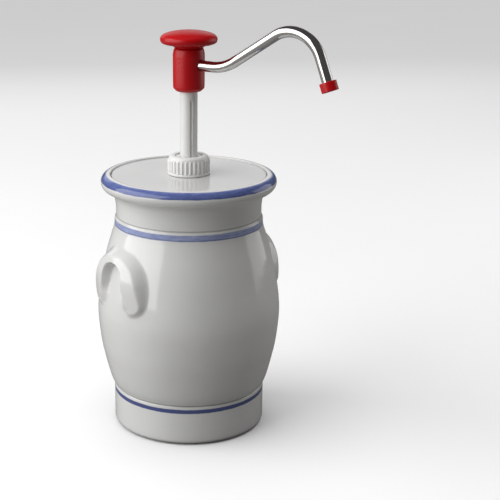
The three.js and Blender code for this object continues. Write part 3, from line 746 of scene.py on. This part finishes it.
def stoneware():
    n = Nodes("stoneware_glaze")
    split = n.add("ShaderNodeSeparateXYZ", {0: n.place})
    x, y, z = (split.outputs[i] for i in range(3))
    radius = n.math("SQRT", n.math("ADD", n.times(x, x), n.times(y, y)))
    angle = n.math("ARCTAN2", y, x)

    cloud = n.noise(9, 4, 0.55)
    body = n.mix(n.span(cloud, 0.3, 0.7), rgb(0.70, 0.70, 0.685), rgb(0.765, 0.765, 0.755))
    grain = n.noise(900, 2, 0.6)
    body = n.mix(n.span(grain, 0.66, 0.78, 0, 0.10), body, rgb(0.42, 0.38, 0.33))

    # Brush strokes run round the crock, so their noise is stretched along the way round
    turn = {0: n.math("COSINE", angle), 1: n.math("SINE", angle), 2: n.times(z, 60)}
    ring = n.add("ShaderNodeCombineXYZ", turn).outputs[0]

    def around(scale, detail, roughness=0.55):
        sockets = {"Vector": ring, "Scale": scale, "Detail": detail, "Roughness": roughness}
        return n.add("ShaderNodeTexNoise", sockets).outputs["Fac"]

    slow = around(3.0, 2)
    quick = around(26, 4, 0.65)
    drift = n.times(n.math("SUBTRACT", slow, 0.5), 0.0011)
    jitter = n.times(n.math("SUBTRACT", quick, 0.5), 0.0009)
    level = n.math("ADD", n.math("ADD", z, drift), jitter)

    def rising(value, low, high):
        return n.span(value, low, high, smooth=True)

    def falling(value, low, high):
        return n.span(value, low, high, 1, 0, smooth=True)

    def stripe(band, soft):
        low, high = band
        return n.times(rising(level, low - soft, low + soft), falling(level, high - soft, high + soft))

    # The bands are on the wall's outside only
    outside = n.span(radius, 0.0725, 0.0735)
    neck = n.times(stripe(NECK_BAND, 0.00035), outside)
    neck_edge = n.times(stripe(NECK_BAND_EDGE, 0.0004), outside)
    foot = n.times(stripe(FOOT_BAND, 0.00035), outside)
    # Painted shade: a mask for the grooves above the neck's ledge and above the foot
    crease_shade = n.times(n.math("ADD", stripe(FOOT_CREASE_SHADE, 0.0003), stripe(NECK_CREASE_SHADE, 0.0004)), outside)

    # Round the rim's bead, by the angle above level at the bead's centre
    up = n.math("SUBTRACT", level, BEAD_HEIGHT * MM)
    out = n.math("SUBTRACT", radius, BEAD_RADIUS * MM)
    tilt = n.math("ADD", n.math("ARCTAN2", up, out), n.times(n.math("SUBTRACT", slow, 0.5), 0.12))
    lower_edge = rising(tilt, math.radians(9), math.radians(14))
    upper_edge = falling(tilt, math.radians(65), math.radians(77))
    rim = n.times(lower_edge, upper_edge)
    rim_edge = n.times(rim, falling(tilt, math.radians(16), math.radians(30)))

    wash = around(7, 4, 0.7)
    dab = around(70, 3, 0.7)
    cobalt = n.mix(n.span(wash, 0.3, 0.72), rgb(0.027, 0.047, 0.21), rgb(0.10, 0.145, 0.40))
    cobalt = n.mix(n.span(dab, 0.45, 0.75, 0, 0.45), cobalt, rgb(0.22, 0.28, 0.58))
    pale = n.mix(n.span(wash, 0.3, 0.7), rgb(0.17, 0.22, 0.48), rgb(0.38, 0.44, 0.70))
    dark = rgb(0.060, 0.080, 0.22)
    glaze = n.mix(n.span(tilt, math.radians(48), math.radians(80), 0, 0.6, smooth=True), cobalt, pale)
    foot_blue = n.mix(dab, rgb(0.026, 0.042, 0.18), rgb(0.050, 0.078, 0.28))
    colour = n.mix(n.times(rim, 0.96), body, glaze)
    colour = n.mix(n.times(rim_edge, 0.35), colour, dark)
    colour = n.mix(n.times(neck, 0.9), colour, pale)
    colour = n.mix(n.times(neck_edge, 0.55), colour, dark)
    colour = n.mix(n.times(foot, 0.95), colour, foot_blue)
    # Painted shade in those grooves, as a dark grey line
    colour = n.mix(n.times(crease_shade, 0.55), colour, rgb(0.20, 0.19, 0.18))

    # The foot's underside is bare clay
    bare = n.times(n.span(z, 0.0006, 0.0012, 1, 0), n.span(n.noise(40), 0.2, 0.5, 0.85, 1))
    clay = n.mix(n.noise(300, 4), rgb(0.42, 0.35, 0.27), rgb(0.55, 0.48, 0.39))
    colour = n.mix(bare, colour, clay)
    rough = n.mix(bare, n.span(n.noise(30, 3), 0.3, 0.7, 0.10, 0.17), rgb(0.85, 0.85, 0.85))
    peel = n.bump(n.noise(160, 2, 0.4), 0.10, 0.0004)
    waves = n.bump(n.noise(28, 2, 0.4), 0.22, 0.0012, peel)
    grit = n.bump(n.times(n.noise(2500, 2), bare), 0.6, 0.0003, waves)
    return n.finish(
        Base_Color=colour, Roughness=rough, Normal=grit, IOR=1.52, Coat_Weight=0.12, Coat_Roughness=0.05,
    )


def lid_glaze():
    n = Nodes("lid_glaze")
    cloud = n.noise(12, 3, 0.5)
    colour = n.mix(n.span(cloud, 0.3, 0.7), rgb(0.60, 0.60, 0.60), rgb(0.64, 0.64, 0.635))
    grain = n.noise(900, 2, 0.6)
    colour = n.mix(n.span(grain, 0.68, 0.8, 0, 0.12), colour, rgb(0.40, 0.37, 0.34))
    rough = n.span(n.noise(35, 3), 0.3, 0.7, 0.10, 0.16)
    peel = n.bump(n.noise(140, 2, 0.4), 0.05, 0.0003)
    return n.finish(
        Base_Color=colour, Roughness=rough, Normal=peel, IOR=1.5, Coat_Weight=0.25, Coat_Roughness=0.06,
    )


def moulded(name, low, high, rough=(0.32, 0.42), grain=0.10):
    """What the moulded plastics share: colour between two shades, scuffed roughness and a fine skin."""
    n = Nodes(name)
    colour = n.mix(n.span(n.noise(18, 3), 0.3, 0.7), low, high)
    scuff = n.noise(60, 5, 0.7, stretch=(1, 1, 6))
    roughness = n.span(scuff, 0.3, 0.75, *rough)
    skin = n.bump(n.noise(1400, 2, 0.5), grain, 0.0001)
    flow = n.bump(n.noise(45, 2, 0.4), 0.08, 0.0006, skin)
    return n, colour, roughness, flow


def white_plastic():
    n, colour, rough, normal = moulded("white_plastic", rgb(0.76, 0.76, 0.745), rgb(0.80, 0.80, 0.79))
    return n.finish(
        Base_Color=colour, Roughness=rough, Normal=normal, IOR=1.49,
        Subsurface_Weight=0.12, Subsurface_Radius=(0.004, 0.004, 0.004), Subsurface_Scale=1.0,
    )


def red_plastic():
    n, colour, rough, normal = moulded(
        "red_plastic", rgb(0.47, 0.001, 0.004), rgb(0.54, 0.0015, 0.006), rough=(0.30, 0.42), grain=0.16,
    )
    return n.finish(Base_Color=colour, Roughness=rough, Normal=normal, IOR=1.5, Specular_IOR_Level=0.35)


def polished_steel():
    n = Nodes("polished_steel")
    smear = n.noise(70, 4, 0.6)
    colour = n.mix(n.span(smear, 0.3, 0.7), rgb(0.66, 0.64, 0.62), rgb(0.74, 0.725, 0.71))
    drawn = n.noise(500, 3, 0.6, stretch=(0.1, 6, 1))
    rough = n.math("ADD", n.span(smear, 0.3, 0.75, 0.05, 0.10), n.span(drawn, 0.4, 0.7, 0, 0.04))
    lines = n.bump(drawn, 0.03, 0.0001)
    return n.finish(Base_Color=colour, Metallic=1.0, Roughness=rough, Normal=lines)


def rubber():
    n = Nodes("rubber")
    colour = n.mix(n.noise(80, 3), rgb(0.018, 0.018, 0.018), rgb(0.035, 0.035, 0.034))
    rough = n.span(n.noise(200, 3), 0.3, 0.7, 0.6, 0.8)
    return n.finish(Base_Color=colour, Roughness=rough, Normal=n.bump(n.noise(900, 3), 0.2, 0.0002))


def milky_tube():
    n = Nodes("milky_tube")
    colour = n.mix(n.noise(30, 3), rgb(0.66, 0.70, 0.72), rgb(0.74, 0.77, 0.78))
    rough = n.span(n.noise(90, 3), 0.3, 0.7, 0.22, 0.34)
    drawn = n.bump(n.noise(300, 2, 0.5, stretch=(6, 6, 0.05)), 0.12, 0.0003)
    return n.finish(Base_Color=colour, Roughness=rough, Normal=drawn, Transmission_Weight=0.35, IOR=1.5)


MATERIALS = {
    "stoneware": stoneware(),
    "lid_glaze": lid_glaze(),
    "white_plastic": white_plastic(),
    "red_plastic": red_plastic(),
    "steel": polished_steel(),
    "rubber": rubber(),
    "tube_plastic": milky_tube(),
}


def paint(piece, name):
    piece.data.materials.clear()
    piece.data.materials.append(MATERIALS[name])


# ------------------------------------------------------------------ the pieces in the frame


def place(piece, body, slot, *nodes):
    """Paints a piece, lets it ride on its body and hides the CAD nodes it stands for."""
    paint(piece, slot)
    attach(piece, body)
    if nodes:
        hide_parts(*nodes)


# The CAD nodes that aren't replaced keep their shapes and take the same materials
SLOT_OF = {part["node"]: part["material_slot"] for part in frame["record"]["subparts"]}
for node, holder in frame["nodes"].items():
    for slot in holder.material_slots:
        slot.material = MATERIALS[SLOT_OF[node]]

place(crock(), "crock", "stoneware", "crock")
place(lid(), "lid", "lid_glaze", "lid")
place(pump_cylinder(), "pump", "white_plastic", "pump_cylinder")
place(neck_thread(), "pump", "white_plastic")
place(rod_guide(), "pump", "white_plastic", "rod_guide")
place(valve_housing(), "pump", "white_plastic", "valve_housing")
place(suction_tube(), "pump", "tube_plastic", "suction_tube")
place(nut_washer(), "nut_seat", "white_plastic", "nut_washer")
place(collar_nut(), "nut", "white_plastic", "collar_nut")
place(piston_rod(), "plunger", "white_plastic", "piston_rod")
place(pump_head(), "plunger", "red_plastic", "pump_head")
place(knob(), "plunger", "red_plastic", "knob")
place(spout_tube(), "plunger", "steel", "spout_tube")
place(nozzle_cap(), "plunger", "red_plastic", "nozzle_cap")

free_length = SPRING_TOP - SPRING_FOOT
spring_pitch = (free_length - 2 * SPRING_WIRE) / SPRING_TURNS
spring_start = SPRING_FOOT + SPRING_WIRE
spring = coil("spring_coiled", SPRING_RADIUS, SPRING_WIRE, spring_pitch, SPRING_TURNS, spring_start)
place(spring, "pump", "steel", "return_spring")
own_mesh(spring)

# ------------------------------------------------------------------ floor, lights and camera

# Metres and radians, and the focal length in millimetres. AZIMUTH is where the camera stands about Z.
AZIMUTH = math.radians(37.5)
TOWARD = Vector((math.sin(AZIMUTH), -math.cos(AZIMUTH), 0))
RIGHT = Vector((math.cos(AZIMUTH), math.sin(AZIMUTH), 0))
CAMERA_DISTANCE = 1.2725
CAMERA_HEIGHT = 0.5695
CAMERA_PITCH = 0.292
FOCAL_LENGTH = 91.0
CAMERA_SHIFT = 0.1224
FLOOR_HALF = 30
FLOOR_HEIGHT = -0.0002
# Strength of the world's light on the object, and as the camera sees it
SURROUNDINGS = 0.07
BACKDROP = 0.61


def from_view(right, toward, height):
    """A point by how far it is to the camera's right, toward the camera, and up."""
    return RIGHT * right + TOWARD * toward + Vector((0, 0, height))


def floor():
    """A pale sheet. It bounces less light than the camera sees on it, as a studio's dark surroundings do."""
    mesh = bpy.data.meshes.new("floor")
    corners = [(x * FLOOR_HALF, y * FLOOR_HALF, 0) for x, y in ((-1, -1), (1, -1), (1, 1), (-1, 1))]
    mesh.from_pydata(corners, [], [(0, 1, 2, 3)])
    plane = bpy.data.objects.new("floor", mesh)
    bpy.context.scene.collection.objects.link(plane)
    plane.location.z = FLOOR_HEIGHT
    n = Nodes("floor_paper")
    seen = n.mix(n.noise(3, 2), rgb(0.93, 0.93, 0.93), rgb(0.95, 0.95, 0.95))
    camera_ray = n.add("ShaderNodeLightPath").outputs["Is Camera Ray"]
    colour = n.mix(camera_ray, rgb(0.22, 0.217, 0.213), seen)
    plane.data.materials.append(n.finish(Base_Color=colour, Roughness=1.0, Specular_IOR_Level=0.0))


def softbox(name, where, aim, width, height, power):
    """A rectangular lamp at a place, turned to face what it aims at."""
    data = bpy.data.lights.new(name, "AREA")
    data.shape = "RECTANGLE"
    data.size = width
    data.size_y = height
    data.energy = power
    light = bpy.data.objects.new(name, data)
    light.location = where
    light.rotation_mode = "QUATERNION"
    light.rotation_quaternion = (Vector(aim) - where).to_track_quat("-Z", "Y")
    bpy.context.scene.collection.objects.link(light)


def studio():
    """Dim surroundings, three soft lamps round the object and a broad one overhead."""
    world = bpy.data.worlds.new("studio")
    bpy.context.scene.world = world
    world.use_nodes = True
    tree = world.node_tree
    background = tree.nodes["Background"]
    background.inputs["Color"].default_value = (1, 0.99, 0.98, 1)
    strength = tree.nodes.new("ShaderNodeMapRange")
    strength.inputs["To Min"].default_value = SURROUNDINGS
    strength.inputs["To Max"].default_value = BACKDROP
    light_path = tree.nodes.new("ShaderNodeLightPath")
    tree.links.new(light_path.outputs["Is Camera Ray"], strength.inputs["Value"])
    tree.links.new(strength.outputs["Result"], background.inputs["Strength"])
    middle = (0, 0, 0.25)
    softbox("key", from_view(-1.55, 0.5, 0.92), middle, 2.4, 1.9, 40)
    softbox("right", from_view(1.5, -0.6, 0.55), middle, 1.2, 1.1, 4.6)
    softbox("behind", from_view(-0.3, -2.2, 1.1), middle, 2.6, 0.9, 5)
    overhead = bpy.data.lights.new("overhead", "SUN")
    overhead.energy = 1.75
    overhead.angle = math.radians(60)
    overhead_lamp = bpy.data.objects.new("overhead", overhead)
    overhead_lamp.visible_glossy = False
    bpy.context.scene.collection.objects.link(overhead_lamp)


def camera():
    data = bpy.data.cameras.new("camera")
    data.sensor_width = 36
    data.lens = FOCAL_LENGTH
    data.shift_x = CAMERA_SHIFT
    view = bpy.data.objects.new("camera", data)
    view.location = TOWARD * CAMERA_DISTANCE + Vector((0, 0, CAMERA_HEIGHT))
    view.rotation_euler = (math.pi / 2 - CAMERA_PITCH, 0, AZIMUTH)
    bpy.context.scene.collection.objects.link(view)
    bpy.context.scene.camera = view


floor()
studio()
camera()
bpy.context.scene.view_settings.view_transform = "Standard"
